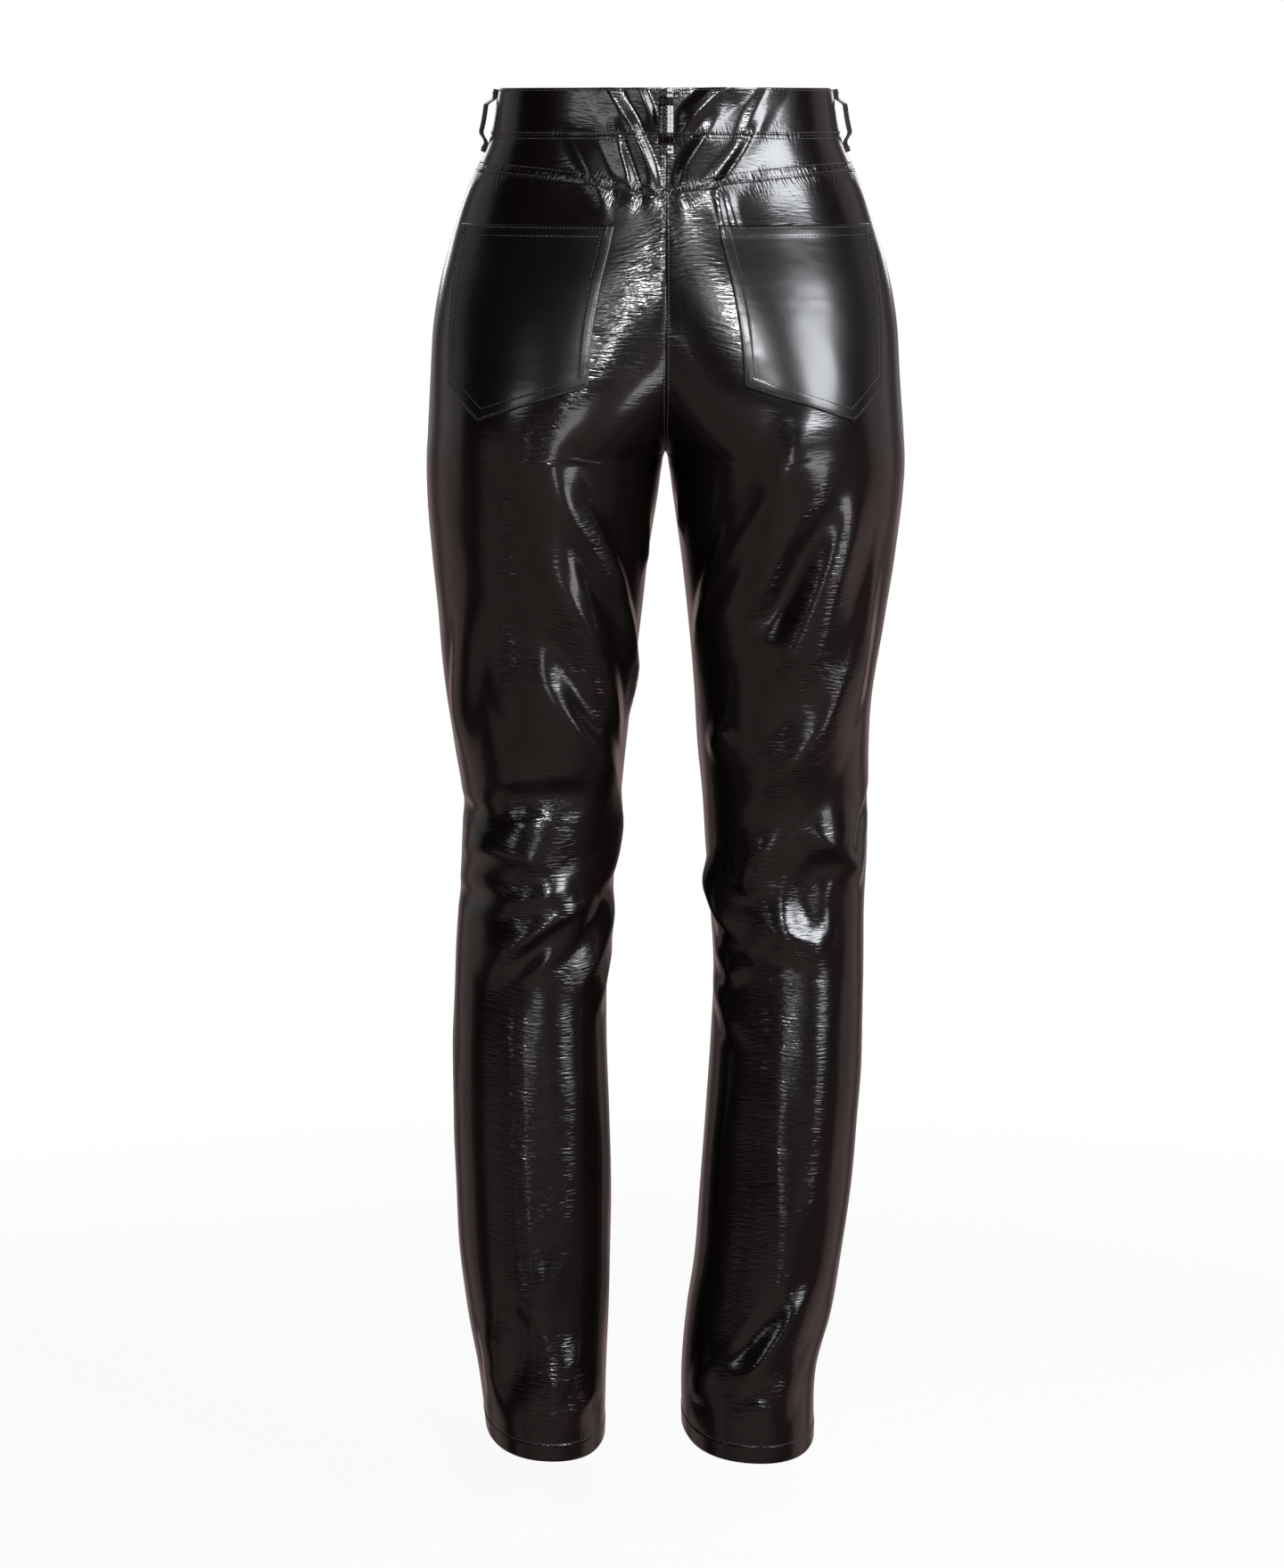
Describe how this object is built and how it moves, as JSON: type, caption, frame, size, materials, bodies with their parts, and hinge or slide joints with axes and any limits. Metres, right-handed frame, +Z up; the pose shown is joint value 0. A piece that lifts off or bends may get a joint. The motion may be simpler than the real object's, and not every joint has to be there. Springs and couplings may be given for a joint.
{
  "type": "vinyl trousers",
  "caption": "High-waisted glossy vinyl trousers in a worn, hollow form, with straight legs, patch back pockets, belt loops and a buttoned waistband.",
  "frame": {"origin": "centre of the waist opening, at half the height of the waistband", "axes": "+Z up, out of the waist; -Y to the front; +X to the wearer's left"},
  "size_m": [0.3682, 0.2447, 1.0645],
  "materials": {
    "patent_vinyl": "high-gloss crinkled coating on cloth, brown-black",
    "satin_vinyl": "smoother, satin to gloss coating on cloth, brown-black",
    "thread": "matt to satin black sewing thread",
    "cloth_backing": "matt knitted back of the coated cloth, black",
    "dark_metal": "blackened metal, polished rim"
  },
  "bodies": {
    "root": {"waistband_left": "patent_vinyl", "waistband_right": "patent_vinyl", "yoke_left": "patent_vinyl", "yoke_right": "patent_vinyl", "back_left": "patent_vinyl", "back_right": "patent_vinyl", "front_left": "patent_vinyl", "front_right": "patent_vinyl", "fly": "patent_vinyl", "belt_loop_back": "patent_vinyl", "belt_loop_side_left": "patent_vinyl", "belt_loop_side_right": "patent_vinyl", "belt_loop_front_left": "patent_vinyl", "belt_loop_front_right": "patent_vinyl", "pocket_left": "satin_vinyl", "pocket_right": "satin_vinyl", "button": "dark_metal"}
  },
  "joints": []
}
